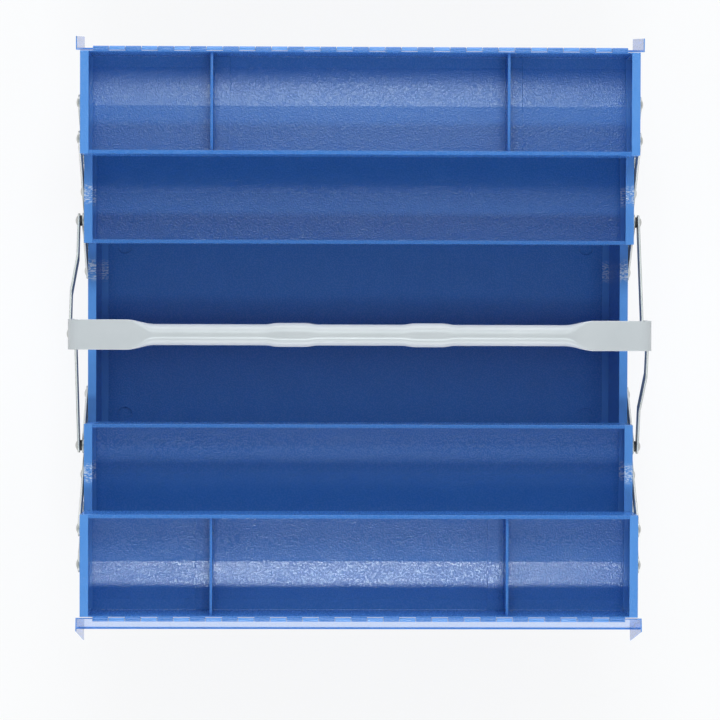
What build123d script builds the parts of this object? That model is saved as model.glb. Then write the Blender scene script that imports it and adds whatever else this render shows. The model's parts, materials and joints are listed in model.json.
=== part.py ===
from build123d import *
from math import asin, atan2, cos, degrees, radians, sin, sqrt, tan
import os

# A steel cantilever tool box, standing open: a deep base, two trays on each side that swing
# out on flat arms, a lid hanging from each top tray and one carrying handle in the middle.
# X runs along the box, +Y is its rear side, +Z is up. The origin is on the ground, at the
# middle of the base. Everything is in millimetres and stands in the open pose.

# Sheet and overall sizes
sheet = 0.8
box_length = 410.0
base_depth = 160.0
base_height = 139.0
tray_height = 46.0
rim_flange = 6.3
hem_width = 2.7
hem_drop = 6.0

# Pressed feet in the floor of the base, and a round press mark in its middle
foot_radius = 6.5
foot_drop = 1.2
foot_end_margin = 19.4
foot_side_margin = 12.5
centre_press_y = -5.0

# Linkage: arm pitch, and how far the arms lean out when open and in when closed
arm_pitch = 55.0
open_lean = 43.0
closed_lean = 30.4
pivot_drop = 20.0
long_arm_inset = 11.3
short_arm_spacing = 21.8
upper_arm_spacing = 26.6
arm_width = 12.0
arm_thickness = 1.6
arm_hole_play = 0.05

# Trays: gap left at the middle when closed, and the floor's folds
middle_centre_gap = 2.1
top_centre_gap = 1.4
floor_flat = 8.7
outer_slope_angle = 9.3
open_stop_gap = 0.4

# Dividers in the top trays
divider_x = 109.0
divider_foot = 12.5
divider_height = 41.0
divider_hem = 2.0
divider_hem_drop = 5.0

# Lids and their hinges
knuckle_radius = 1.5
pin_radius = 0.7
pin_play = 0.05
knuckle_count = 33
knuckle_row_margin = 9.3
knuckle_gap = 0.3
hinge_gap = 0.3
lid_over_rim = 0.3
lid_edge_gap = 0.3
lid_side_overhang = 3.2
lid_flange_depth = 10.0
lid_lip_depth = 1.6
lid_notch = 2.4
rear_lid_hang_angle = 4.5
front_lid_hang_angle = 11.5

# Rivets and washers
rivet_radius = 2.0
rivet_head_radius = 4.0
rivet_head_height = 1.4
rivet_tail_radius = 3.4
rivet_tail_height = 0.9
low_head_height = 0.7
strap_head_height = 1.7
washer_radius = 5.2
washer_thickness = 0.8
side_play = 0.15
cut_margin = 1.0

# Handle and its straps
strap_open_angle = 20.64
strap_width = 11.0
strap_thickness = 1.6
strap_clearance = 0.3
crank_start = 30.0
crank_end = 58.0
handle_rise = 41.0
handle_plate = 2.0
handle_end_width = 22.0
handle_bend_radius = 8.0
grip_width = 15.4
grip_height = 9.5
grip_corner = 7.0
grip_wall = 1.8
grip_half_length = 153.0
taper_half_length = 170.0
bulge_width = 17.6
bulge_centre = 50.0
bulge_half_length = 18.0
bulge_run = 9.0

# Places that follow from the sizes above
half_length = box_length / 2
inner_half = half_length - sheet
flange_half = half_length - rim_flange
half_base = base_depth / 2
open_reach = arm_pitch * sin(radians(open_lean))
open_rise = arm_pitch * cos(radians(open_lean))
level_travel = open_reach + arm_pitch * sin(radians(closed_lean))
swing = open_lean + closed_lean
middle_rim = base_height + open_rise
top_rim = middle_rim + open_rise
middle_inner_y = middle_centre_gap + level_travel
top_inner_y = top_centre_gap + 2 * level_travel
middle_depth = half_base - middle_centre_gap
hinge_stand = knuckle_radius + hinge_gap
top_depth = half_base - top_centre_gap - hinge_stand - knuckle_radius
hinge_y = top_inner_y + top_depth + hinge_stand
hinge_z = top_rim + lid_over_rim + sheet - knuckle_radius

# A tray's floor is flat along the outer wall, rises to a crease at mid depth, and rises less
# from there to the inner wall, so that in the open pose it rests over the rim below
outer_slope = tan(radians(outer_slope_angle))
rest_inset = middle_inner_y + middle_depth - top_inner_y
rest_rise = tray_height - open_rise + open_stop_gap
top_crease_rise = (top_depth / 2 - floor_flat) * outer_slope
inner_slope = (rest_rise - top_crease_rise) / (top_depth / 2 - rest_inset)

# Pivots as (y, z) in the open pose
base_long = (half_base - long_arm_inset, base_height - pivot_drop)
base_short = (base_long[0] - short_arm_spacing, base_long[1])
middle_long = (base_long[0] + open_reach, base_long[1] + open_rise)
middle_short = (base_short[0] + open_reach, base_short[1] + open_rise)
middle_upper = (middle_long[0] + upper_arm_spacing, middle_long[1])
top_long = (middle_long[0] + open_reach, middle_long[1] + open_rise)
top_short = (middle_upper[0] + open_reach, middle_upper[1] + open_rise)
strap_length = middle_short[0] / cos(radians(strap_open_angle))
handle_pivot = (0.0, middle_short[1] + middle_short[0] * tan(radians(strap_open_angle)))

# Layers at each end, as distances from the middle of the box
arm_in = half_length + washer_thickness + side_play
arm_out = arm_in + arm_thickness
head_in = arm_out + side_play
strap_in = head_in + rivet_head_height + strap_clearance
strap_out = strap_in + strap_thickness
lug_in = strap_out + strap_clearance
lug_out = lug_in + handle_plate
crank_in = lug_out + side_play
crank_out = crank_in + strap_thickness


def block(x0, x1, y0, y1, z0, z1):
    centre = Pos((x0 + x1) / 2, (y0 + y1) / 2, (z0 + z1) / 2)
    return centre * Box(abs(x1 - x0), abs(y1 - y0), abs(z1 - z0))


def rod(x0, x1, y, z, radius):
    """A round bar along X from x0 to x1."""
    return Pos((x0 + x1) / 2, y, z) * Rot(0, 90, 0) * Cylinder(radius, abs(x1 - x0))


def prism(points, x0, x1):
    """A closed (y, z) outline, drawn out along X from x0 to x1."""
    wire = Polyline([(x0, y, z) for y, z in points], close=True)
    return extrude(make_face(wire), amount=x1 - x0, dir=(1, 0, 0))


def one(shape):
    """The single solid of a result, so that each file holds a plain solid."""
    solids = shape.solids()
    return solids[0] if len(solids) == 1 else Compound(children=list(solids))


def save(name, shape, turn=0):
    export_step(Rot(0, 0, turn) * one(shape), f"parts/{name}.step")


def fold(y, z, before, after, inset):
    """A fold of the floor line at (y, z) between two slopes, set up from it by inset."""
    lift_before = inset * sqrt(1 + before**2)
    lift_after = inset * sqrt(1 + after**2)
    shift = (lift_after - lift_before) / (before - after)
    return (y + shift, z + before * shift + lift_before)


def pan_outline(y0, z0, depth, height, sloped, inset):
    """Cross-section of a base or tray, set in from its outer faces by inset.

    y0 is the face nearest the middle of the box and z0 is the underside.
    """
    near = y0 + inset
    far = y0 + depth - inset
    top = z0 + height
    if not sloped:
        return [(near, top), (near, z0 + inset), (far, z0 + inset), (far, top)]
    crease_y = y0 + depth / 2
    toe_y = y0 + depth - floor_flat
    crease = fold(crease_y, z0 + (toe_y - crease_y) * outer_slope, -inner_slope, -outer_slope, inset)
    toe = fold(toe_y, z0, -outer_slope, 0.0, inset)
    near_z = crease[1] + (crease[0] - near) * inner_slope
    return [(near, top), (near, near_z), crease, toe, (far, z0 + inset), (far, top)]


def pan_shell(y0, z0, depth, height, sloped, hems):
    """The long sheet of a base or tray: floor and both long walls, with hemmed top edges."""
    outer = prism(pan_outline(y0, z0, depth, height, sloped, 0), -inner_half, inner_half)
    inner = prism(pan_outline(y0, z0, depth, height, sloped, sheet), -inner_half, inner_half)
    shell = outer - inner
    top = z0 + height
    for wall, inward in hems:
        leg = wall + inward * hem_width
        shell += block(-flange_half, flange_half, wall, leg, top - sheet, top)
        shell += block(-flange_half, flange_half, leg, leg - inward * sheet, top - hem_drop, top)
    for end in (-1, 1):
        shell -= block(end * flange_half, end * half_length, y0, y0 + depth, top - sheet, top)
    return shell


def pan_end(end, y0, z0, depth, height, sloped, pivots):
    """One end panel with its inward flanges: a wide one at the rim, and one lying on the shell."""
    outline = pan_outline(y0, z0, depth, height, sloped, 0)
    panel = prism(outline, end * inner_half, end * half_length)
    lining = prism(pan_outline(y0, z0, depth, height - sheet, sloped, sheet),
                   end * flange_half, end * inner_half)
    lining -= prism(pan_outline(y0, z0, depth, height - sheet, sloped, 2 * sheet),
                    end * flange_half, end * inner_half)
    top = z0 + height
    rim = block(end * flange_half, end * half_length, y0, y0 + depth, top - sheet, top)
    panel = panel + lining + rim
    for y, z in pivots:
        panel -= rod(end * (inner_half - sheet), end * (half_length + sheet), y, z, rivet_radius)
    return panel


def foot_places():
    """The four feet and the middle press mark, as (x, y)."""
    corners = [(x * (half_length - foot_end_margin), y * (half_base - foot_side_margin))
               for x in (-1, 1) for y in (-1, 1)]
    return corners + [(0.0, centre_press_y)]


def base_shell():
    floor = foot_drop
    height = base_height - foot_drop
    hems = [(-half_base, 1), (half_base, -1)]
    shell = pan_shell(-half_base, floor, base_depth, height, False, hems)
    for x, y in foot_places():
        shell += Pos(x, y, floor / 2) * Cylinder(foot_radius, floor)
        recess = Pos(x, y, floor / 2 + sheet) * Cylinder(foot_radius - sheet, floor)
        shell -= recess
    return shell


def rivet(end, pivot, seat, height):
    """A rivet through an end panel: flat tail inside, shank, and a domed head from seat out."""
    y, z = pivot
    tail = rod(end * (inner_half - rivet_tail_height), end * inner_half, y, z, rivet_tail_radius)
    shank = rod(end * inner_half, end * seat, y, z, rivet_radius)
    return tail + shank + dome(end, pivot, seat, height)


def dome(way, pivot, seat, height):
    """A low round head that stands from the plane at seat; way is +1 or -1 along X."""
    y, z = pivot
    ball = (rivet_head_radius**2 + height**2) / (2 * height)
    half_angle = asin(rivet_head_radius / ball) / 2
    crown = (height - ball + ball * cos(half_angle), ball * sin(half_angle))
    base_line = Line((0, rivet_head_radius), (0, 0))
    axis_line = Line((0, 0), (height, 0))
    crown_arc = ThreePointArc((height, 0), crown, (0, rivet_head_radius))
    head = revolve(make_face(Wire([base_line, axis_line, crown_arc])), Axis.X)
    if way < 0:
        head = mirror(head, about=Plane.YZ)
    return Pos(way * abs(seat), y, z) * head


def washer(end, pivot, inner, outer, radius):
    y, z = pivot
    ring = rod(end * inner, end * outer, y, z, radius)
    return ring - rod(end * (inner - cut_margin), end * (outer + cut_margin), y, z, rivet_radius)


def arm(end, pivots):
    """A flat bar with round ends along its pivots, a hole at each."""
    first = pivots[0]
    last = pivots[-1]
    angle = degrees(atan2(last[1] - first[1], last[0] - first[0]))
    reach = sqrt((last[0] - first[0])**2 + (last[1] - first[1])**2)
    middle = ((first[0] + last[0]) / 2, (first[1] + last[1]) / 2)
    bar = Box(arm_thickness, reach, arm_width)
    bar = Pos(end * (arm_in + arm_out) / 2, *middle) * Rot(angle, 0, 0) * bar
    for y, z in (first, last):
        bar += rod(end * arm_in, end * arm_out, y, z, arm_width / 2)
    for y, z in pivots:
        hole = rivet_radius + arm_hole_play
        bar -= rod(end * (arm_in - cut_margin), end * (arm_out + cut_margin), y, z, hole)
    return bar


def strap(end, cranked):
    """A handle strap from the middle tray to the handle, straight or cranked outwards."""
    reach = strap_width / 2
    step = crank_in - strap_in if cranked else 0.0
    near = [(0, -reach), (0, crank_start), (step, crank_end), (step, strap_length + reach)]
    far = [(x + strap_thickness, s) for x, s in reversed(near)]
    wire = Polyline([(x, s, -reach) for x, s in near + far], close=True)
    bar = extrude(make_face(wire), amount=strap_width, dir=(0, 0, 1))
    span = step + strap_thickness
    outline = Pos(span / 2, strap_length / 2, 0) * Box(span, strap_length, strap_width)
    for s in (0.0, strap_length):
        outline += rod(0, span, s, 0, reach)
    bar = bar & outline
    for s in (0.0, strap_length):
        bar -= rod(-cut_margin, span + cut_margin, s, 0, rivet_radius + arm_hole_play)
    if end < 0:
        bar = mirror(bar, about=Plane.YZ)
    rise = handle_pivot[1] - middle_short[1]
    angle = degrees(atan2(rise, handle_pivot[0] - middle_short[0]))
    return Pos(end * strap_in, *middle_short) * Rot(angle, 0, 0) * bar


def floor_strip(y0, z0, depth, x0, x1):
    """A strip of sheet lying on a tray's floor and following its folds."""
    low = pan_outline(y0, z0, depth, tray_height, True, sheet)[1:5]
    crease, toe = pan_outline(y0, z0, depth, tray_height, True, 2 * sheet)[2:4]
    near_top = (low[0][0], crease[1] + (crease[0] - low[0][0]) * inner_slope)
    far_top = (low[3][0], toe[1])
    return prism(low + [far_top, toe, crease, near_top], x0, x1)


def divider(x):
    """An upright plate across a top tray, with a foot on the floor and a hemmed top edge."""
    floor = top_rim - tray_height
    outline = pan_outline(top_inner_y, floor, top_depth, divider_height, True, sheet)
    plate = prism(outline, x - sheet / 2, x + sheet / 2)
    foot = floor_strip(top_inner_y, floor, top_depth, x - sheet / 2, x + divider_foot)
    near = top_inner_y + hem_width + knuckle_gap
    far = top_inner_y + top_depth - sheet
    top = floor + divider_height
    hem = block(x - divider_hem / 2, x + divider_hem / 2, near, far, top - divider_hem_drop, top)
    slit = block(x - divider_hem / 2 + sheet / 2, x - sheet / 2, near, far,
                 top - divider_hem_drop, top - sheet / 2)
    slit_far = block(x + sheet / 2, x + divider_hem / 2 - sheet / 2, near, far,
                     top - divider_hem_drop, top - sheet / 2)
    hem = hem - slit - slit_far
    clear_of_hem = block(x - divider_hem, x + divider_hem, top_inner_y, near,
                         top_rim - hem_drop - knuckle_gap, top_rim)
    return (plate - clear_of_hem) + foot + hem


def knuckle_spans(first):
    """X ranges of every other knuckle of the hinge, from knuckle number first."""
    row = 2 * (half_length - knuckle_row_margin)
    pitch = row / knuckle_count
    starts = [-row / 2 + pitch * i for i in range(first, knuckle_count, 2)]
    return [(x + knuckle_gap / 2, x + pitch - knuckle_gap / 2) for x in starts]


def knuckle_bore(x0, x1):
    return rod(x0 - cut_margin, x1 + cut_margin, hinge_y, hinge_z, pin_radius + pin_play)


def top_tray_shell():
    """A top tray's long sheet, with the tray's half of the hinge along its outer rim."""
    floor = top_rim - tray_height
    hems = [(top_inner_y, 1)]
    shell = pan_shell(top_inner_y, floor, top_depth, tray_height, True, hems)
    wall = hinge_y - hinge_stand - sheet
    for x0, x1 in knuckle_spans(0):
        tab = block(x0, x1, wall, hinge_y, top_rim - sheet, top_rim)
        shell += tab + rod(x0, x1, hinge_y, hinge_z, knuckle_radius)
    for x0, x1 in knuckle_spans(0):
        shell -= knuckle_bore(x0, x1)
    return shell


def lid_closed():
    """A lid as it lies over its top tray, with its half of the hinge."""
    under = hinge_z + knuckle_radius - sheet
    top = hinge_z + knuckle_radius
    edge = top_inner_y - top_centre_gap + lid_edge_gap
    side = half_length + lid_side_overhang
    plate = block(-side, side, edge, hinge_y - lid_notch, under, top)
    for end in (-1, 1):
        plate += block(end * (side - sheet), end * side, edge, hinge_y - lid_notch,
                       top - lid_flange_depth, top)
    plate += block(-side, side, edge, edge + sheet, top - lid_lip_depth, top)
    for x0, x1 in knuckle_spans(1):
        plate += block(x0, x1, hinge_y - lid_notch - sheet, hinge_y, under, top)
        plate += rod(x0, x1, hinge_y, hinge_z, knuckle_radius)
    for x0, x1 in knuckle_spans(1):
        plate -= knuckle_bore(x0, x1)
    return plate


def lid(side):
    """A lid hanging open from its hinge, turned back from lying closed."""
    hang_angle = {"rear": rear_lid_hang_angle, "front": front_lid_hang_angle}[side]
    turn = Rot(-(270 - hang_angle), 0, 0)
    return Pos(0, hinge_y, hinge_z) * turn * Pos(0, -hinge_y, -hinge_z) * lid_closed()


def hinge_pin():
    row = half_length - knuckle_row_margin
    return rod(-row, row, hinge_y, hinge_z, pin_radius)


def grip_section(x, width, height, corner):
    """A grip cross-section at x, rounded above and square below, under the handle's top."""
    top = handle_pivot[1] + handle_rise
    half = width / 2
    low = top - height
    side = top - corner
    bottom = Line((x, half, low), (x, -half, low))
    left = Line((x, -half, low), (x, -half, side))
    diagonal = corner * (1 - sqrt(0.5))
    left_arc = ThreePointArc((x, -half, side), (x, -half + diagonal, top - diagonal),
                             (x, -half + corner, top))
    upper = Line((x, -half + corner, top), (x, half - corner, top))
    right_arc = ThreePointArc((x, half - corner, top), (x, half - diagonal, top - diagonal),
                              (x, half, side))
    right = Line((x, half, side), (x, half, low))
    return make_face(Wire([bottom, left, left_arc, upper, right_arc, right]))


def grip_stations():
    """Where the grip changes, as (x, width, height, corner), from the left taper to the right."""
    flat_corner = handle_plate - 0.2
    half_run = bulge_half_length - bulge_run
    rows = [(taper_half_length, handle_end_width, handle_plate, flat_corner),
            (grip_half_length, grip_width, grip_height, grip_corner),
            (bulge_centre + bulge_half_length, grip_width, grip_height, grip_corner),
            (bulge_centre + half_run, bulge_width, grip_height, grip_corner),
            (bulge_centre - half_run, bulge_width, grip_height, grip_corner),
            (bulge_centre - bulge_half_length, grip_width, grip_height, grip_corner)]
    left = [(-x, width, height, corner) for x, width, height, corner in rows]
    return left + rows[::-1]


def grip():
    stations = grip_stations()
    body = loft([grip_section(*row) for row in stations], ruled=True)
    hollow = [(x, width - 2 * grip_wall, height, corner - grip_wall)
              for x, width, height, corner in stations[1:-1]]
    sections = [grip_section(*row) for row in hollow]
    bore = loft(sections, ruled=True)
    return body - Pos(0, 0, -grip_wall) * bore


def handle():
    """The carrying handle: flat ends bent down into lugs, and a channel-shaped grip."""
    y, z = handle_pivot
    top = z + handle_rise
    low = z - handle_end_width / 2
    outer = Rectangle(2 * lug_out, 2 * (top - low))
    outer = fillet(outer.vertices(), handle_bend_radius)
    inner = Rectangle(2 * lug_in, 2 * (top - handle_plate - low))
    inner = fillet(inner.vertices(), handle_bend_radius - handle_plate)
    bow = extrude(Plane.XZ * (outer - inner), amount=handle_end_width / 2, both=True)
    bow = Pos(0, 0, low) * bow
    legs = block(-lug_out, lug_out, -handle_end_width / 2, handle_end_width / 2, z, top)
    legs += rod(-lug_out, lug_out, y, z, handle_end_width / 2)
    bow = bow & legs
    bow -= block(-taper_half_length, taper_half_length, -handle_end_width, handle_end_width,
                 top - handle_plate - cut_margin, top + cut_margin)
    for end in (-1, 1):
        bow -= rod(end * (lug_in - cut_margin), end * (lug_out + cut_margin), y, z, rivet_radius)
    return bow + grip()


def handle_rivets():
    """The pins that carry the handle on the rear straps, one at each end."""
    y, z = handle_pivot
    left = rod(-lug_in, -(crank_out + side_play), y, z, rivet_radius)
    left += dome(-1, handle_pivot, crank_out + side_play, strap_head_height)
    seat = strap_in - side_play
    right = rod(seat, lug_out, y, z, rivet_radius)
    right += rod(seat - low_head_height, seat, y, z, rivet_head_radius)
    return [left, right]


def front_strap_studs():
    """The studs in the upper ends of the front straps, whose pivot is left open."""
    y, z = handle_pivot
    seat = strap_in - side_play
    inner = rod(-seat, -strap_out, y, z, rivet_radius + arm_hole_play)
    inner += rod(-(seat - low_head_height), -strap_in, y, z, rivet_head_radius)
    outer = rod(crank_in, crank_out, y, z, rivet_radius + arm_hole_play)
    outer += dome(1, handle_pivot, crank_out, strap_head_height)
    return [inner, outer]


def group(solids):
    return Compound(children=[one(shape) for shape in solids])


def swapped(end, turn):
    """The name of an end once the piece is turned about Z by turn."""
    return {(-1, 0): "left", (1, 0): "right", (-1, 180): "right", (1, 180): "left"}[(end, turn)]


def make_base():
    floor = foot_drop
    height = base_height - foot_drop
    pivots = [(side * y, z) for side in (-1, 1) for y, z in (base_long, base_short)]
    save("base_shell", base_shell())
    for end in (-1, 1):
        panel = pan_end(end, -half_base, floor, base_depth, height, False, pivots)
        save(f"base_{swapped(end, 0)}_end", panel)
    ends = [(end, pivot) for end in (-1, 1) for pivot in pivots]
    save("base_rivets", group([rivet(end, p, head_in, rivet_head_height) for end, p in ends]))
    save("base_washers", group([washer(end, p, half_length, half_length + washer_thickness,
                                       washer_radius) for end, p in ends]))


def make_middle_tray(side, turn):
    floor = middle_rim - tray_height
    place = (middle_inner_y, floor, middle_depth, tray_height, True)
    hems = [(middle_inner_y, 1), (middle_inner_y + middle_depth, -1)]
    save(f"{side}_middle_tray_shell", pan_shell(*place, hems), turn)
    pivots = [middle_long, middle_short, middle_upper]
    for end in (-1, 1):
        save(f"{side}_middle_tray_{swapped(end, turn)}_end", pan_end(end, *place, pivots), turn)
    rivets = []
    washers = []
    for end in (-1, 1):
        rivets += [rivet(end, p, head_in, rivet_head_height) for p in (middle_long, middle_upper)]
        rivets += [rivet(end, middle_short, strap_out + side_play, strap_head_height)]
        washers += [washer(end, p, half_length, half_length + washer_thickness, washer_radius)
                    for p in pivots]
        washers += [washer(end, middle_short, head_in, strap_in - side_play, rivet_head_radius)]
    save(f"{side}_middle_tray_rivets", group(rivets), turn)
    save(f"{side}_middle_tray_washers", group(washers), turn)


def make_top_tray(side, turn):
    floor = top_rim - tray_height
    place = (top_inner_y, floor, top_depth, tray_height, True)
    save(f"{side}_top_tray_shell", top_tray_shell(), turn)
    pivots = [top_long, top_short]
    for end in (-1, 1):
        save(f"{side}_top_tray_{swapped(end, turn)}_end", pan_end(end, *place, pivots), turn)
        save(f"{side}_{swapped(end, turn)}_divider", divider(end * divider_x), turn)
    ends = [(end, pivot) for end in (-1, 1) for pivot in pivots]
    save(f"{side}_top_tray_rivets",
         group([rivet(end, p, head_in, rivet_head_height) for end, p in ends]), turn)
    save(f"{side}_top_tray_washers",
         group([washer(end, p, half_length, half_length + washer_thickness, washer_radius)
                for end, p in ends]), turn)
    save(f"{side}_lid_hinge_pin", hinge_pin(), turn)
    save(f"{side}_lid", lid(side), turn)


def make_arms(side, turn):
    for end in (-1, 1):
        name = swapped(end, turn)
        save(f"{side}_{name}_long_arm", arm(end, [base_long, middle_long, top_long]), turn)
        save(f"{side}_{name}_lower_arm", arm(end, [base_short, middle_short]), turn)
        save(f"{side}_{name}_upper_arm", arm(end, [middle_upper, top_short]), turn)
        save(f"{side}_{name}_handle_strap", strap(end, cranked=end < 0), turn)


make_base()
for side_name, half_turn in (("rear", 0), ("front", 180)):
    make_middle_tray(side_name, half_turn)
    make_top_tray(side_name, half_turn)
    make_arms(side_name, half_turn)
save("handle", handle())
save("handle_rivets", group(handle_rivets()))
save("front_strap_studs", group(front_strap_studs()))
print(f"swing {swing:.2f} deg, handle pivot at z {handle_pivot[1]:.2f}")
print(f"hinge axis y {hinge_y:.2f} z {hinge_z:.2f}, crank out {crank_out:.2f}")
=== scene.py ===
# %% [markdown]
# # A cantilever tool box, dressed for its portrait
# The steel work of this box comes ready made: every sheet, arm and rivet stands at its true
# size and place, in metres. This lesson gives it its finishes, makes the pressed handle as a
# smooth mesh, and lights it from above, as a catalogue photographer would.

# %% Load the frame
import bmesh
import bpy
import json
import math
from mathutils import Matrix, Vector


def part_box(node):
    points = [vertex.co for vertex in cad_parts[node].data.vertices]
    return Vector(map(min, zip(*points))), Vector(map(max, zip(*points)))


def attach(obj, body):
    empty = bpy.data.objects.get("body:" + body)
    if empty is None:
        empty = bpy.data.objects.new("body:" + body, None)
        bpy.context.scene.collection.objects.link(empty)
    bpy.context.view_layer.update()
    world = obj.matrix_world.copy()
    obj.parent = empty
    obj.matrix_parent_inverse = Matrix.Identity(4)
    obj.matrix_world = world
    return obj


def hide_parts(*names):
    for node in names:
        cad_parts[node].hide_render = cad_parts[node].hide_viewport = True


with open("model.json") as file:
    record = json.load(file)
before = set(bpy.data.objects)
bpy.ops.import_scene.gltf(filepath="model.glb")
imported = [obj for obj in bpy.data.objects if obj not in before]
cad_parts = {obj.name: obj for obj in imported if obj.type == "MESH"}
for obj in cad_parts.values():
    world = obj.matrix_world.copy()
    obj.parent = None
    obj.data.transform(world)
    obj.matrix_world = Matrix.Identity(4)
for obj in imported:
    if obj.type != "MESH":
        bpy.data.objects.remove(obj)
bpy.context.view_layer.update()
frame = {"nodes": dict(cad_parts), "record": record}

nodes = frame["nodes"]
mm = 0.001

# %% [markdown]
# ## Three small helpers
# Paint colours are read off colour cards as sRGB hex values, but the renderer works in linear
# light, so one function converts them. A second one adds a shader node, sets its inputs and
# links it, which keeps each material down to a few lines. A third starts a material and hands
# back what each recipe needs: its nodes, its shader, and the place on the piece in metres.

# %% Helpers for colours, nodes and materials
COLOUR_A, COLOUR_B, COLOUR_MIXED = 6, 7, 2  # the Mix node's sockets for colours


def linear(hex_colour):
    """An sRGB hex value such as 387cd2 as linear RGBA."""
    channels = [int(hex_colour[i:i + 2], 16) / 255 for i in (0, 2, 4)]
    light = [c / 12.92 if c <= 0.04045 else ((c + 0.055) / 1.055) ** 2.4 for c in channels]
    return (*light, 1.0)


def add(tree, kind, settings=None, inputs=None):
    """Adds one node. settings are its properties; inputs are values, or sockets to link."""
    node = tree.nodes.new(kind)
    for name, value in (settings or {}).items():
        setattr(node, name, value)
    for name, value in (inputs or {}).items():
        if isinstance(value, bpy.types.NodeSocket):
            tree.links.new(value, node.inputs[name])
        else:
            node.inputs[name].default_value = value
    return node


def new_material(name):
    """An empty node material with its shader and its coordinates ready."""
    material = bpy.data.materials.new(name)
    material.use_nodes = True
    tree = material.node_tree
    shader = tree.nodes["Principled BSDF"]
    place = add(tree, "ShaderNodeTexCoord").outputs["Object"]
    return material, tree, shader, place


print("a mid blue in linear light:", [round(c, 3) for c in linear("3b76c3")])

# %% [markdown]
# ## Textured stove enamel on sheet steel
# The blue is a thick stove enamel, sprayed and baked. While it flows it draws up into little
# hills about 1.1 mm apart, called orange peel. It is a hard resin, so it reflects like glass
# with an IOR near 1.5. The bump comes from a noise at that spacing, and the same noise sets the
# gloss: the hilltops level out to a mirror and the hollows stay matt, so under a lamp the coat
# glitters. A wider noise shifts the tint where the coat pooled. The lids were sprayed thinner,
# so the same enamel lies flatter on them. The end panels and the lids are given a paler tint,
# which is painted light: on the end panels it is a painted sheen on their upward rims, and on
# the lids a painted reflection, the pale glare of the table seen at a grazing view.
#
# Each time the box closes, the corners of a tray slide over the rim below. There the enamel is
# rubbed pale in fine slanting scratches: on the middle trays' rims, and on the rear of the base.
# The pale patches are partly this wear and partly a painted glint, standing in for the sparkle
# of the lamps on the rims. Two noises would not place such marks, so each is a soft band at a
# measured place along the rim, broken up by a noise that is drawn out along the scratches.

# %% Rub marks and a painted glint on the end panels' rims
SCRATCH = 0.9 * mm
SCRATCH_SLANT = 0.5  # radians off the rim's width
SCRATCH_DRAWN_OUT = 0.35
SCRATCH_EDGE = (0.46, 0.6)  # noise levels between bare coat and full scratch
# Places of the pale patches along the rims: wear with a painted glint.
RUB_AND_GLINT_PLACES = ((0.104, 0.009), (-0.104, 0.009), (0.048, 0.010))  # place along Y and reach, metres
FULL_WITHIN = 0.4  # share of the reach in which a mark has its full strength
LOOKS_UP = 0.8  # the rim's faces have at least this much of their normal upwards


def near(tree, value, centre, reach):
    """1 at the centre of a mark, falling to 0 at its reach."""
    off = add(tree, "ShaderNodeMath", {"operation": "SUBTRACT"}, {0: value, 1: centre})
    away = add(tree, "ShaderNodeMath", {"operation": "ABSOLUTE"}, {0: off.outputs["Value"]})
    return add(tree, "ShaderNodeMapRange", {"interpolation_type": "SMOOTHSTEP"}, {
        "Value": away.outputs["Value"], "From Min": reach * FULL_WITHIN, "From Max": reach,
        "To Min": 1.0, "To Max": 0.0}).outputs["Result"]


def rub_marks_and_glints(tree, place):
    """Wear and painted glint: bands along Y, broken into scratches, on faces that look up."""
    along = add(tree, "ShaderNodeSeparateXYZ", inputs={"Vector": place}).outputs["Y"]
    band = None
    for centre, reach in RUB_AND_GLINT_PLACES:
        mark = near(tree, along, centre, reach)
        band = mark if band is None else add(
            tree, "ShaderNodeMath", {"operation": "MAXIMUM"}, {0: band, 1: mark}).outputs["Value"]
    slant = add(tree, "ShaderNodeMapping", inputs={
        "Vector": place, "Rotation": (0.0, 0.0, SCRATCH_SLANT),
        "Scale": (SCRATCH_DRAWN_OUT, 1.0, 1.0)})
    scratches = add(tree, "ShaderNodeTexNoise", inputs={
        "Vector": slant.outputs["Vector"], "Scale": 1 / SCRATCH, "Detail": 2.0})
    broken = add(tree, "ShaderNodeMapRange", inputs={
        "Value": scratches.outputs["Fac"],
        "From Min": SCRATCH_EDGE[0], "From Max": SCRATCH_EDGE[1]})
    facing = add(tree, "ShaderNodeSeparateXYZ", inputs={
        "Vector": add(tree, "ShaderNodeNewGeometry").outputs["True Normal"]})
    upward = add(tree, "ShaderNodeMath", {"operation": "GREATER_THAN"}, {
        0: facing.outputs["Z"], 1: LOOKS_UP})
    patch = add(tree, "ShaderNodeMath", {"operation": "MULTIPLY"}, {
        0: band, 1: broken.outputs["Result"]})
    return add(tree, "ShaderNodeMath", {"operation": "MULTIPLY"}, {
        0: patch.outputs["Value"], 1: upward.outputs["Value"]}).outputs["Value"]


print("rub marks at", len(RUB_AND_GLINT_PLACES), "places along the rims")

# %% Blue enamel: textured, painted paler on the end panels and lids, and flat on the lids
ENAMEL_IOR = 1.52
PEEL_SPACING = 1.1 * mm
PEEL_HEIGHT = 0.16 * mm
THIN_PEEL_HEIGHT = 0.008 * mm
HALFWAY_UP = (0.45, 0.55)  # noise levels between a hollow and a hilltop
POOL_SPACING = 14 * mm
# The pale colour of the rubbed patches: wear, and a painted glint of the lamps.
RUB_AND_GLINT_COAT = "cbd8ee"


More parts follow.
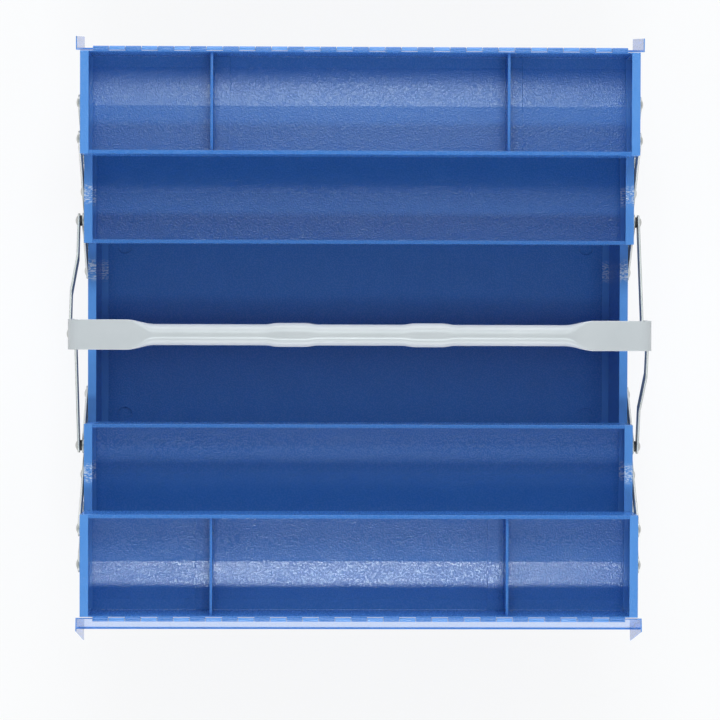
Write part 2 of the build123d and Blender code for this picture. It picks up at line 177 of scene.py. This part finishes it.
def stove_enamel(name, peel_height, hilltop, hollow, thick, thin, pale_rub_and_glint=False):
    """hilltop and hollow are roughness values, thick and thin the tints of the coat."""
    material, tree, shader, place = new_material(name)
    peel = add(tree, "ShaderNodeTexNoise", inputs={
        "Vector": place, "Scale": 1 / PEEL_SPACING, "Detail": 1.0, "Roughness": 0.6})
    pool = add(tree, "ShaderNodeTexNoise", inputs={
        "Vector": place, "Scale": 1 / POOL_SPACING, "Detail": 1.0})
    tint = add(tree, "ShaderNodeMix", {"data_type": "RGBA"}, {
        "Factor": pool.outputs["Fac"], COLOUR_A: linear(thick), COLOUR_B: linear(thin)})
    gloss = add(tree, "ShaderNodeMapRange", inputs={
        "Value": peel.outputs["Fac"], "From Min": HALFWAY_UP[0], "From Max": HALFWAY_UP[1],
        "To Min": hollow, "To Max": hilltop})
    bump = add(tree, "ShaderNodeBump", inputs={
        "Height": peel.outputs["Fac"], "Distance": peel_height, "Strength": 1.0})
    # Wear and painted glint: the rubbed patches are mixed towards a pale colour.
    if pale_rub_and_glint:
        tint = add(tree, "ShaderNodeMix", {"data_type": "RGBA"}, {
            "Factor": rub_marks_and_glints(tree, place), COLOUR_A: tint.outputs[COLOUR_MIXED],
            COLOUR_B: linear(RUB_AND_GLINT_COAT)})
    tree.links.new(tint.outputs[COLOUR_MIXED], shader.inputs["Base Color"])
    tree.links.new(gloss.outputs["Result"], shader.inputs["Roughness"])
    tree.links.new(bump.outputs["Normal"], shader.inputs["Normal"])
    shader.inputs["IOR"].default_value = ENAMEL_IOR
    return material


blue_enamel = stove_enamel(
    "textured_stove_enamel_blue", PEEL_HEIGHT, 0.06, 0.36, "3b76c3", "437eca")
# The end panels' paler tint is painted light: a painted sheen on their upward rims.
end_enamel_painted_paler = stove_enamel(
    "end_panel_enamel_blue_painted_paler", PEEL_HEIGHT, 0.1, 0.25, "548fd9", "5c97e0", pale_rub_and_glint=True)
# The lids' paler tint is painted light: a painted reflection of the table at a grazing view.
lid_enamel_painted_paler = stove_enamel(
    "thin_stove_enamel_blue_painted_paler", THIN_PEEL_HEIGHT, 0.08, 0.14, "4f8cd8", "5794df")
print("enamel: hills every", round(PEEL_SPACING / mm, 2), "mm")

# %% [markdown]
# ## Nickel-plated flat steel
# The arms are cut from cold-rolled strip and plated with dull nickel. Rolling leaves fine lines
# along the strip, and the plating keeps them, so the roughness is drawn out along one axis.
# The lines are drawn at 0.5 mm, coarser than real ones, so that they show. It is a metal:
# metallic 1, and the IOR stays at its default.

# %% Plated strip and rivets
ROLLING_LINE = 0.5 * mm
LINES_DRAWN_OUT = 0.15
HAZE = 6 * mm
LINE_DEPTH = 0.02 * mm


def nickel_plate(name, colour, rough, lines):
    """rough is the middle of the roughness, and lines says how strongly the rolling shows."""
    material, tree, shader, place = new_material(name)
    stretch = add(tree, "ShaderNodeMapping", inputs={
        "Vector": place, "Scale": (1.0, LINES_DRAWN_OUT, LINES_DRAWN_OUT)})
    streaks = add(tree, "ShaderNodeTexNoise", inputs={
        "Vector": stretch.outputs["Vector"], "Scale": 1 / ROLLING_LINE, "Detail": 3.0})
    haze = add(tree, "ShaderNodeTexNoise", inputs={
        "Vector": place, "Scale": 1 / HAZE, "Detail": 2.0})
    mixed = add(tree, "ShaderNodeMath", {"operation": "MULTIPLY_ADD"}, {
        0: streaks.outputs["Fac"], 1: lines, 2: haze.outputs["Fac"]})
    gloss = add(tree, "ShaderNodeMapRange", inputs={
        "Value": mixed.outputs["Value"], "From Min": 0.3, "From Max": 0.7 + lines,
        "To Min": rough - 0.06, "To Max": rough + 0.08})
    bump = add(tree, "ShaderNodeBump", inputs={
        "Height": streaks.outputs["Fac"], "Distance": LINE_DEPTH, "Strength": 0.4})
    tree.links.new(gloss.outputs["Result"], shader.inputs["Roughness"])
    tree.links.new(bump.outputs["Normal"], shader.inputs["Normal"])
    shader.inputs["Base Color"].default_value = linear(colour)
    shader.inputs["Metallic"].default_value = 1.0
    return material


arm_plate = nickel_plate("dull_nickel_plate_on_strip", "b9bab7", 0.5, 1.0)
rivet_plate = nickel_plate("nickel_plated_rivet", "bfc0bd", 0.36, 0.2)
wire_steel = nickel_plate("drawn_steel_wire", "9a9b9c", 0.35, 0.6)
print("plated finishes:", arm_plate.name, rivet_plate.name, wire_steel.name)

# %% [markdown]
# ## Blackened washers
# The spacers behind the arms are steel, blackened in hot oxide salts. That finish is a thin
# matt film, so it is dark, nearly neutral and rough, with a faint brown where it is thin.

# %% Black oxide
OXIDE_CLOUD = 3 * mm


def black_oxide(name):
    """A thin dark film: part metal, part oxide, so metallic lies between the two."""
    material, tree, shader, place = new_material(name)
    cloud = add(tree, "ShaderNodeTexNoise", inputs={
        "Vector": place, "Scale": 1 / OXIDE_CLOUD, "Detail": 3.0})
    tint = add(tree, "ShaderNodeMix", {"data_type": "RGBA"}, {
        "Factor": cloud.outputs["Fac"], COLOUR_A: linear("26262a"), COLOUR_B: linear("3a3836")})
    tree.links.new(tint.outputs[COLOUR_MIXED], shader.inputs["Base Color"])
    shader.inputs["Metallic"].default_value = 0.6
    shader.inputs["Roughness"].default_value = 0.5
    return material


washer_oxide = black_oxide("black_oxide_steel")
print("washers:", washer_oxide.name)

# %% [markdown]
# ## Silver-grey lacquer on the handle
# The handle is pressed from strip and sprayed with a silver-grey lacquer: fine aluminium flakes
# in a clear binder. It reads as an even pale grey with a thin gleam of each lamp, so it is a
# dielectric of a low IOR, and its flakes are a noise of 0.4 mm, drawn a little coarser than
# real ones so that they show.

# %% Silver lacquer
LACQUER_IOR = 1.4
FLAKE = 0.4 * mm
FLAKE_HEIGHT = 0.03 * mm
LACQUER_CLOUD = 20 * mm


def silver_lacquer(name):
    """An even grey whose tint shifts with the flakes and, slowly, along the handle."""
    material, tree, shader, place = new_material(name)
    flakes = add(tree, "ShaderNodeTexNoise", inputs={
        "Vector": place, "Scale": 1 / FLAKE, "Detail": 1.0})
    soft = add(tree, "ShaderNodeTexNoise", inputs={
        "Vector": place, "Scale": 1 / LACQUER_CLOUD, "Detail": 2.0})
    blend = add(tree, "ShaderNodeMath", {"operation": "MULTIPLY_ADD"}, {
        0: flakes.outputs["Fac"], 1: 0.5, 2: soft.outputs["Fac"]})
    tint = add(tree, "ShaderNodeMix", {"data_type": "RGBA"}, {
        "Factor": blend.outputs["Value"], COLOUR_A: linear("bdc0c2"), COLOUR_B: linear("cacbcd")})
    bump = add(tree, "ShaderNodeBump", inputs={
        "Height": flakes.outputs["Fac"], "Distance": FLAKE_HEIGHT, "Strength": 0.5})
    tree.links.new(tint.outputs[COLOUR_MIXED], shader.inputs["Base Color"])
    tree.links.new(bump.outputs["Normal"], shader.inputs["Normal"])
    shader.inputs["Roughness"].default_value = 0.22
    shader.inputs["IOR"].default_value = LACQUER_IOR
    return material


handle_lacquer = silver_lacquer("silver_grey_lacquer")
print("handle:", handle_lacquer.name)

# %% [markdown]
# ## Give each piece its finish
# The record already says which finish each piece takes, so the slot names choose the material.
# Only the lids and the end panels differ from their slot, and their names tell them apart.

# %% Assign the finishes
FINISH = {"blue_enamel": blue_enamel, "plated_arms": arm_plate, "rivet_steel": rivet_plate,
          "hinge_pin_steel": wire_steel, "washers": washer_oxide, "handle_paint": handle_lacquer}
FINISH_BY_ENDING = {"_lid": lid_enamel_painted_paler, "_end": end_enamel_painted_paler}
slot_of = {row["node"]: row["material_slot"] for row in frame["record"]["subparts"]}
for name, piece in nodes.items():
    finish = FINISH_BY_ENDING.get(name[-4:], FINISH[slot_of[name]])
    if not piece.material_slots:
        piece.data.materials.append(finish)
    for holder in piece.material_slots:
        holder.material = finish
print("finished", len(nodes), "pieces")

# %% [markdown]
# ## Folded edges
# No edge of folded sheet is razor sharp: the bend has a radius and the enamel rounds the rest.
# A weld joins the faces that the import split apart, and a bevel of a third of a millimetre
# then rounds each edge, so that it catches a line of light. The last step gives the normals
# to the large flats, so that a sheet stays flat up to its bends. None of them moves the piece.

# %% Round the edges of sheet and strip
EDGE_ROUND = {"blue_enamel": 0.28 * mm, "plated_arms": 0.3 * mm}
SHARP = math.radians(35)
JOIN_WITHIN = 0.002 * mm
for name, piece in nodes.items():
    width = EDGE_ROUND.get(slot_of[name])
    if width is None:
        continue
    weld = piece.modifiers.new("join_faces", "WELD")
    weld.merge_threshold = JOIN_WITHIN
    bevel = piece.modifiers.new("round_edges", "BEVEL")
    bevel.width = width
    bevel.segments = 2
    bevel.limit_method = "ANGLE"
    bevel.angle_limit = SHARP
    bevel.harden_normals = True
    bevel.use_clamp_overlap = True
    bevel.loop_slide = False  # sliding drew dark lines along the long flats
    flats = piece.modifiers.new("flat_faces_lead", "WEIGHTED_NORMAL")
    flats.weight = 100
    flats.keep_sharp = True
print("rounded the edges of", sum(slot_of[name] in EDGE_ROUND for name in nodes), "pieces")

# %% [markdown]
# ## The pressed handle
# A press draws the middle of a flat strip into a channel with a rounded crown and two finger
# swells, and leaves the ends flat. A row of cross-sections along the strip is the natural way
# to make that: each section is the same loop of points, and its width, depth and corner change
# smoothly from station to station. The ends follow the bend down into the lugs.

# %% Handle sizes, from the frame
handle_low, handle_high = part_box("handle")
LUG_PLATE = 2.0 * mm
END_WIDTH = handle_high[1] - handle_low[1]
TOP = handle_high[2]
REACH = handle_high[0]
BEND = 8.0 * mm
LUG_ROUND = END_WIDTH / 2
PIVOT_Z = handle_low[2] + LUG_ROUND
GRIP_WIDTH = 15.4 * mm
GRIP_DEPTH = 9.5 * mm
GRIP_CORNER = 7.0 * mm
FLAT_CORNER = 0.5 * mm
SWELL = 2.1 * mm
SWELL_CENTRE = 50 * mm
SWELL_HALF = 19 * mm
TAPER_START = 170 * mm
TAPER_END = 150 * mm
RIVET_HOLE = 2.0 * mm
print("handle", round(2 * REACH / mm, 1), "mm long, crown at", round(TOP / mm, 1), "mm")


# %% How the handle's section changes along it
SWELL_SLOPE = 2.2  # a swell has its full size over the middle half of its length
STATIONS = 150
FLAT_DEPTH = 1.001 * LUG_PLATE  # a hair over the plate, so that no points coincide


def ease(t):
    """A smooth step from 0 to 1."""
    t = min(1.0, max(0.0, t))
    return t * t * (3 - 2 * t)


def swell_at(x):
    """Extra width of the two finger swells at x."""
    off = abs(abs(x) - SWELL_CENTRE) / SWELL_HALF
    return SWELL * ease(SWELL_SLOPE * (1 - off))


def handle_stations():
    """(x, width, depth, corner) from the left end of the flat top to the right."""
    rows = []
    flat = REACH - BEND
    for i in range(STATIONS + 1):
        x = -flat + 2 * flat * i / STATIONS
        pressed = ease((TAPER_START - abs(x)) / (TAPER_START - TAPER_END))
        width = END_WIDTH + (GRIP_WIDTH - END_WIDTH) * pressed + swell_at(x) * pressed
        depth = FLAT_DEPTH + (GRIP_DEPTH - LUG_PLATE) * pressed
        corner = FLAT_CORNER + (GRIP_CORNER - FLAT_CORNER) * pressed
        rows.append((x, width, depth, corner))
    return rows


print("widest at a swell:", round((GRIP_WIDTH + swell_at(SWELL_CENTRE)) / mm, 1), "mm")


# %% One cross-section of the sheet
CORNER_STEPS = 6
PRESSED_FROM = 1.02  # times the plate: shallower sections keep square edges


def section_loop(width, depth, corner, plate):
    """A folded sheet as (across, down) points: its outside from left to right, then back inside.

    The inside is the outside drawn in by the plate, and its feet end level with the outside.
    """
    half = width / 2
    outside = [(-half, depth)]
    for i in range(CORNER_STEPS + 1):
        a = math.pi / 2 * i / CORNER_STEPS
        outside.append((-half + corner * (1 - math.cos(a)), corner * (1 - math.sin(a))))
    outside.append((0.0, 0.0))
    outside += [(-across, down) for across, down in reversed(outside[:-1])]
    drawn_in = (half - plate) / half if depth > plate * PRESSED_FROM else 1.0
    inside = [(across * drawn_in, min(depth, plate + down * (depth - plate) / depth))
              for across, down in reversed(outside)]
    return outside + inside


print("points in a section:", len(section_loop(GRIP_WIDTH, GRIP_DEPTH, GRIP_CORNER, LUG_PLATE)))


# %% Build the handle's mesh
def skin(vertices, faces, loops):
    """Joins loops of equal length into a closed strip, with its two end faces."""
    size = len(loops[0])
    first = len(vertices)
    for loop in loops:
        vertices.extend(loop)
    for row in range(len(loops) - 1):
        for i in range(size):
            j = (i + 1) % size
            a = first + row * size
            faces.append((a + i, a + j, a + size + j, a + size + i))
    faces.append(tuple(first + i for i in reversed(range(size))))
    last = first + (len(loops) - 1) * size
    faces.append(tuple(last + i for i in range(size)))


def handle_piece(name, vertices, faces):
    """A mesh that rides with the handle, in its lacquer, with every face looking outwards."""
    mesh = bpy.data.meshes.new(name)
    mesh.from_pydata(vertices, [], faces)
    mesh.validate()
    shell = bmesh.new()
    shell.from_mesh(mesh)
    bmesh.ops.recalc_face_normals(shell, faces=shell.faces)
    shell.to_mesh(mesh)
    shell.free()
    piece = bpy.data.objects.new(name, mesh)
    bpy.context.scene.collection.objects.link(piece)
    mesh.materials.append(handle_lacquer)
    mesh.shade_smooth()
    mesh.set_sharp_from_angle(angle=SHARP)
    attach(piece, "handle")
    return piece


vertices, faces = [], []
skin(vertices, faces, [
    [(x, across, TOP - down) for across, down in section_loop(width, depth, corner, LUG_PLATE)]
    for x, width, depth, corner in handle_stations()])
grip = handle_piece("handle_grip", vertices, faces)
print("grip:", len(vertices), "points")

# %% [markdown]
# ### The bent ends
# Each end turns down through a quarter circle and finishes as a lug with a round foot. The lug
# is a flat plate, so its outline is drawn once and given its thickness, and a hole is left
# where the rivet passes: a ring of faces between the outline and the hole.

# %% The bend
BEND_STEPS = 10


def bend_sections(side):
    """Sections from the flat top round the bend to the level of the lug's plate."""
    half = END_WIDTH / 2
    sides = []
    for i in range(BEND_STEPS + 1):
        a = math.pi / 2 * i / BEND_STEPS
        sides.append([(REACH - BEND + radius * math.sin(a), TOP - BEND + radius * math.cos(a))
                      for radius in (BEND, BEND - LUG_PLATE)])
    level = PIVOT_Z + LUG_ROUND
    sides.append([(REACH, level), (REACH - LUG_PLATE, level)])
    return [[(side * outer_x, -half, outer_z), (side * outer_x, half, outer_z),
             (side * inner_x, half, inner_z), (side * inner_x, -half, inner_z)]
            for (outer_x, outer_z), (inner_x, inner_z) in sides]


print("sections round a bend:", len(bend_sections(1)))


# %% The lug's foot, and both ends
FOOT_STEPS = 48


def lug_foot(side, vertices, faces):
    """The plate round the rivet: a square top and a round foot, with the rivet's hole."""
    half = END_WIDTH / 2
    first = len(vertices)
    turns = [2 * math.pi * i / FOOT_STEPS for i in range(FOOT_STEPS)]
    for x in (REACH, REACH - LUG_PLATE):
        for a in turns:
            across, up = math.cos(a), math.sin(a)
            reach = half / max(abs(across), abs(up)) if up > 0 else half
            vertices.append((side * x, across * reach, PIVOT_Z + up * reach))
        for a in turns:
            vertices.append(
                (side * x, RIVET_HOLE * math.cos(a), PIVOT_Z + RIVET_HOLE * math.sin(a)))
    behind = 2 * FOOT_STEPS
    for i in range(FOOT_STEPS):
        rim, rim_next = first + i, first + (i + 1) % FOOT_STEPS
        hole, hole_next = rim + FOOT_STEPS, rim_next + FOOT_STEPS
        faces.append((rim, rim_next, hole_next, hole))
        faces.append((rim + behind, hole + behind, hole_next + behind, rim_next + behind))
        faces.append((rim, rim + behind, rim_next + behind, rim_next))
        faces.append((hole, hole_next, hole_next + behind, hole + behind))


for side, side_word in ((-1, "left"), (1, "right")):
    vertices, faces = [], []
    skin(vertices, faces, bend_sections(side))
    lug_foot(side, vertices, faces)
    handle_piece(f"handle_{side_word}_lug", vertices, faces)
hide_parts("handle")
print("lugs made, rivet level", round(PIVOT_Z / mm, 1), "mm")

# %% [markdown]
# ## The camera
# The photograph looks straight down from well above, with a long lens. The camera stands
# 2.26 m above the base's rim, a little to the left and behind the middle, and the picture's
# top is the box's rear. Pointing it with its own three axes is surer than with angles, which
# turn over when a camera looks straight down.

# %% Camera
BASE_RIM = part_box("base_shell")[1][2]
EYE = Vector((-0.036, 0.033, BASE_RIM + 2.26))
AIM = Vector((0.0014, -0.0202, BASE_RIM))
LENS = 148.8
SENSOR_WIDTH = 36
ROLL = math.radians(0.18)
camera_data = bpy.data.cameras.new("copy_stand_camera")
camera_data.lens = LENS
camera_data.sensor_width = SENSOR_WIDTH
camera = bpy.data.objects.new("copy_stand_camera", camera_data)
bpy.context.scene.collection.objects.link(camera)
back = (EYE - AIM).normalized()
right = Vector((0, 1, 0)).cross(back).normalized()
up = back.cross(right)
turn = Matrix((right, up, back)).transposed().to_4x4()
camera.matrix_world = Matrix.Translation(EYE) @ turn @ Matrix.Rotation(ROLL, 4, "Z")
bpy.context.scene.camera = camera
print("camera at", [round(v, 3) for v in EYE])

# %% [markdown]
# ## The white table
# The box stands on white laminate. The camera and mirror-like faces see it as almost plain
# white, as in a catalogue picture, so for those rays alone it glows at a strength of 1. Its deep
# shade close under the box keeps its real shading, and a little is kept everywhere, so the box
# stands on a shadow. The soft light that the table throws back is always its real, shaded one.

# %% Rays that look at the surroundings directly
def seen_directly(tree):
    """1 for rays of the camera, and for those that a mirror or a clear body passes on."""
    ray = add(tree, "ShaderNodeLightPath")
    seen = ray.outputs["Is Camera Ray"]
    for kind in ("Is Glossy Ray", "Is Transmission Ray"):
        seen = add(tree, "ShaderNodeMath", {"operation": "MAXIMUM"}, {
            0: seen, 1: ray.outputs[kind]}).outputs["Value"]
    return seen


print("direct rays: camera, glossy and transmission")

# %% White laminate
SHADE_CENTRE_Y = -0.006
SHADE_HALF = {"X": 0.208, "Y": 0.238}  # half the deep shade under the box, in metres
SHADE_FADE = 0.06
PLAIN_WHITE = 0.85  # the share of plain white beyond the deep shade


def table_white(name):
    """White laminate, near plain white to direct rays beyond the deep shade under the box."""
    material, tree, shader, place = new_material(name)
    shader.inputs["Base Color"].default_value = linear("f4f4f6")
    shader.inputs["Roughness"].default_value = 0.9
    centred = add(tree, "ShaderNodeMapping", inputs={
        "Vector": place, "Location": (0.0, -SHADE_CENTRE_Y, 0.0)})
    split = add(tree, "ShaderNodeSeparateXYZ", inputs={"Vector": centred.outputs["Vector"]})
    beyond = []
    for axis, half in SHADE_HALF.items():
        away = add(tree, "ShaderNodeMath", {"operation": "ABSOLUTE"}, {0: split.outputs[axis]})
        beyond.append(add(tree, "ShaderNodeMapRange", {"interpolation_type": "SMOOTHSTEP"}, {
            "Value": away.outputs["Value"], "From Min": half - SHADE_FADE, "From Max": half,
            "To Min": 0.0, "To Max": PLAIN_WHITE}).outputs["Result"])
    clear = add(tree, "ShaderNodeMath", {"operation": "MAXIMUM"}, {0: beyond[0], 1: beyond[1]})
    share = add(tree, "ShaderNodeMath", {"operation": "MULTIPLY"}, {
        0: seen_directly(tree), 1: clear.outputs["Value"]})
    glow = add(tree, "ShaderNodeEmission", inputs={"Color": (1.0, 1.0, 1.0, 1.0), "Strength": 1.0})
    mix = add(tree, "ShaderNodeMixShader", inputs={
        0: share.outputs["Value"], 1: shader.outputs["BSDF"], 2: glow.outputs["Emission"]})
    tree.links.new(mix.outputs["Shader"], tree.nodes["Material Output"].inputs["Surface"])
    return material


white_laminate = table_white("white_laminate")
print("table finish:", white_laminate.name)

# %% The table
TABLE_SIZE = 12.0
half_table = TABLE_SIZE / 2
table_corners = [(x * half_table, y * half_table, 0)
                 for x, y in ((-1, -1), (1, -1), (1, 1), (-1, 1))]
table_mesh = bpy.data.meshes.new("white_table")
table_mesh.from_pydata(table_corners, [], [(0, 1, 2, 3)])
table_mesh.materials.append(white_laminate)
table = bpy.data.objects.new("white_table", table_mesh)
bpy.context.scene.collection.objects.link(table)
print("table:", TABLE_SIZE, "m wide")

# %% [markdown]
# ## The lamps
# Two narrow strip lamps and one soft box hang above. Their light falls on a tray's tilted floor
# and leaves towards the camera, which gives the pale glittering bands: a narrow lamp gives a
# bright band with a clear edge, as in the front tray, and a wide one a soft band. Each lamp is
# placed where a mirror lying on that floor would show it to the camera.

# %% Strip lamps
LAMP_TINT = (0.86, 0.98, 1.0)
LAMPS = (  # name, place, aim, length, depth, all in metres, and watts
    ("front_strip", (0.05, -1.53, 3.2), (0.0, -0.18, 0.18), 0.85, 0.36, 29.0),
    ("rear_strip", (0.05, 1.6, 3.2), (0.0, 0.18, 0.18), 0.85, 0.2, 3.0),
    ("rear_soft_box", (0.03, 1.07, 2.0), (0.0, 0.17, 0.18), 0.8, 1.05, 13.0),
)


def strip_lamp(name, place, aim, length, depth, watts):
    """A rectangular lamp that shines from its place towards its aim."""
    data = bpy.data.lights.new(name, "AREA")
    data.shape = "RECTANGLE"
    data.size = length
    data.size_y = depth
    data.energy = watts
    data.color = LAMP_TINT
    lamp = bpy.data.objects.new(name, data)
    lamp.location = place
    lamp.rotation_euler = (Vector(aim) - Vector(place)).to_track_quat("-Z", "Y").to_euler()
    lamp.visible_camera = False
    bpy.context.scene.collection.objects.link(lamp)


for lamp_row in LAMPS:
    strip_lamp(*lamp_row)
print("lamps:", [row[0] for row in LAMPS])

# %% [markdown]
# ## The room
# White walls light the box from behind and in front, while the room is dimmer at the sides and
# overhead, so the rims that face the walls are pale and the floors of the deep base stay dark.
# Near the horizon the room is seen as white, so that the table has no visible end.

# %% White room
ROOM_TINT = (0.95, 0.975, 1.0, 1.0)
SIDE_LEVEL, WALL_LEVEL = 0.2, 3.8
WALL_EDGE = (0.7, 0.9)  # how far a direction leans along Y where a wall begins, and is full
HORIZON_EDGE = (0.25, 0.45)  # how steep a direction is where the white begins to fade, and ends


def white_room(name):
    """A world of two bright walls, behind and in front, and a dimmer room around them."""
    world = bpy.data.worlds.new(name)
    bpy.context.scene.world = world
    world.use_nodes = True
    tree = world.node_tree
    direction = add(tree, "ShaderNodeTexCoord").outputs["Generated"]
    split = add(tree, "ShaderNodeSeparateXYZ", inputs={"Vector": direction})
    lean = add(tree, "ShaderNodeMath", {"operation": "ABSOLUTE"}, {0: split.outputs["Y"]})
    level = add(tree, "ShaderNodeMapRange", {"interpolation_type": "SMOOTHSTEP"}, {
        "Value": lean.outputs["Value"], "From Min": WALL_EDGE[0], "From Max": WALL_EDGE[1],
        "To Min": SIDE_LEVEL, "To Max": WALL_LEVEL})
    height = add(tree, "ShaderNodeMath", {"operation": "ABSOLUTE"}, {0: split.outputs["Z"]})
    horizon = add(tree, "ShaderNodeMapRange", {"interpolation_type": "SMOOTHSTEP"}, {
        "Value": height.outputs["Value"],
        "From Min": HORIZON_EDGE[0], "From Max": HORIZON_EDGE[1],
        "To Min": 1.0, "To Max": 0.0})
    white = add(tree, "ShaderNodeMath", {"operation": "MULTIPLY"}, {
        0: horizon.outputs["Result"], 1: seen_directly(tree)})
    brighter = add(tree, "ShaderNodeMath", {"operation": "MAXIMUM"}, {
        0: level.outputs["Result"], 1: white.outputs["Value"]})
    room = tree.nodes["Background"]
    room.inputs["Color"].default_value = ROOM_TINT
    tree.links.new(brighter.outputs["Value"], room.inputs["Strength"])


white_room("white_room")
bpy.context.scene.view_settings.view_transform = "Standard"
print("room:", bpy.context.scene.world.name)

# %% [markdown]
# ## Finish
# The dressed box must fill the same box as the steel work.

# %% The last line
print("scene dressed")
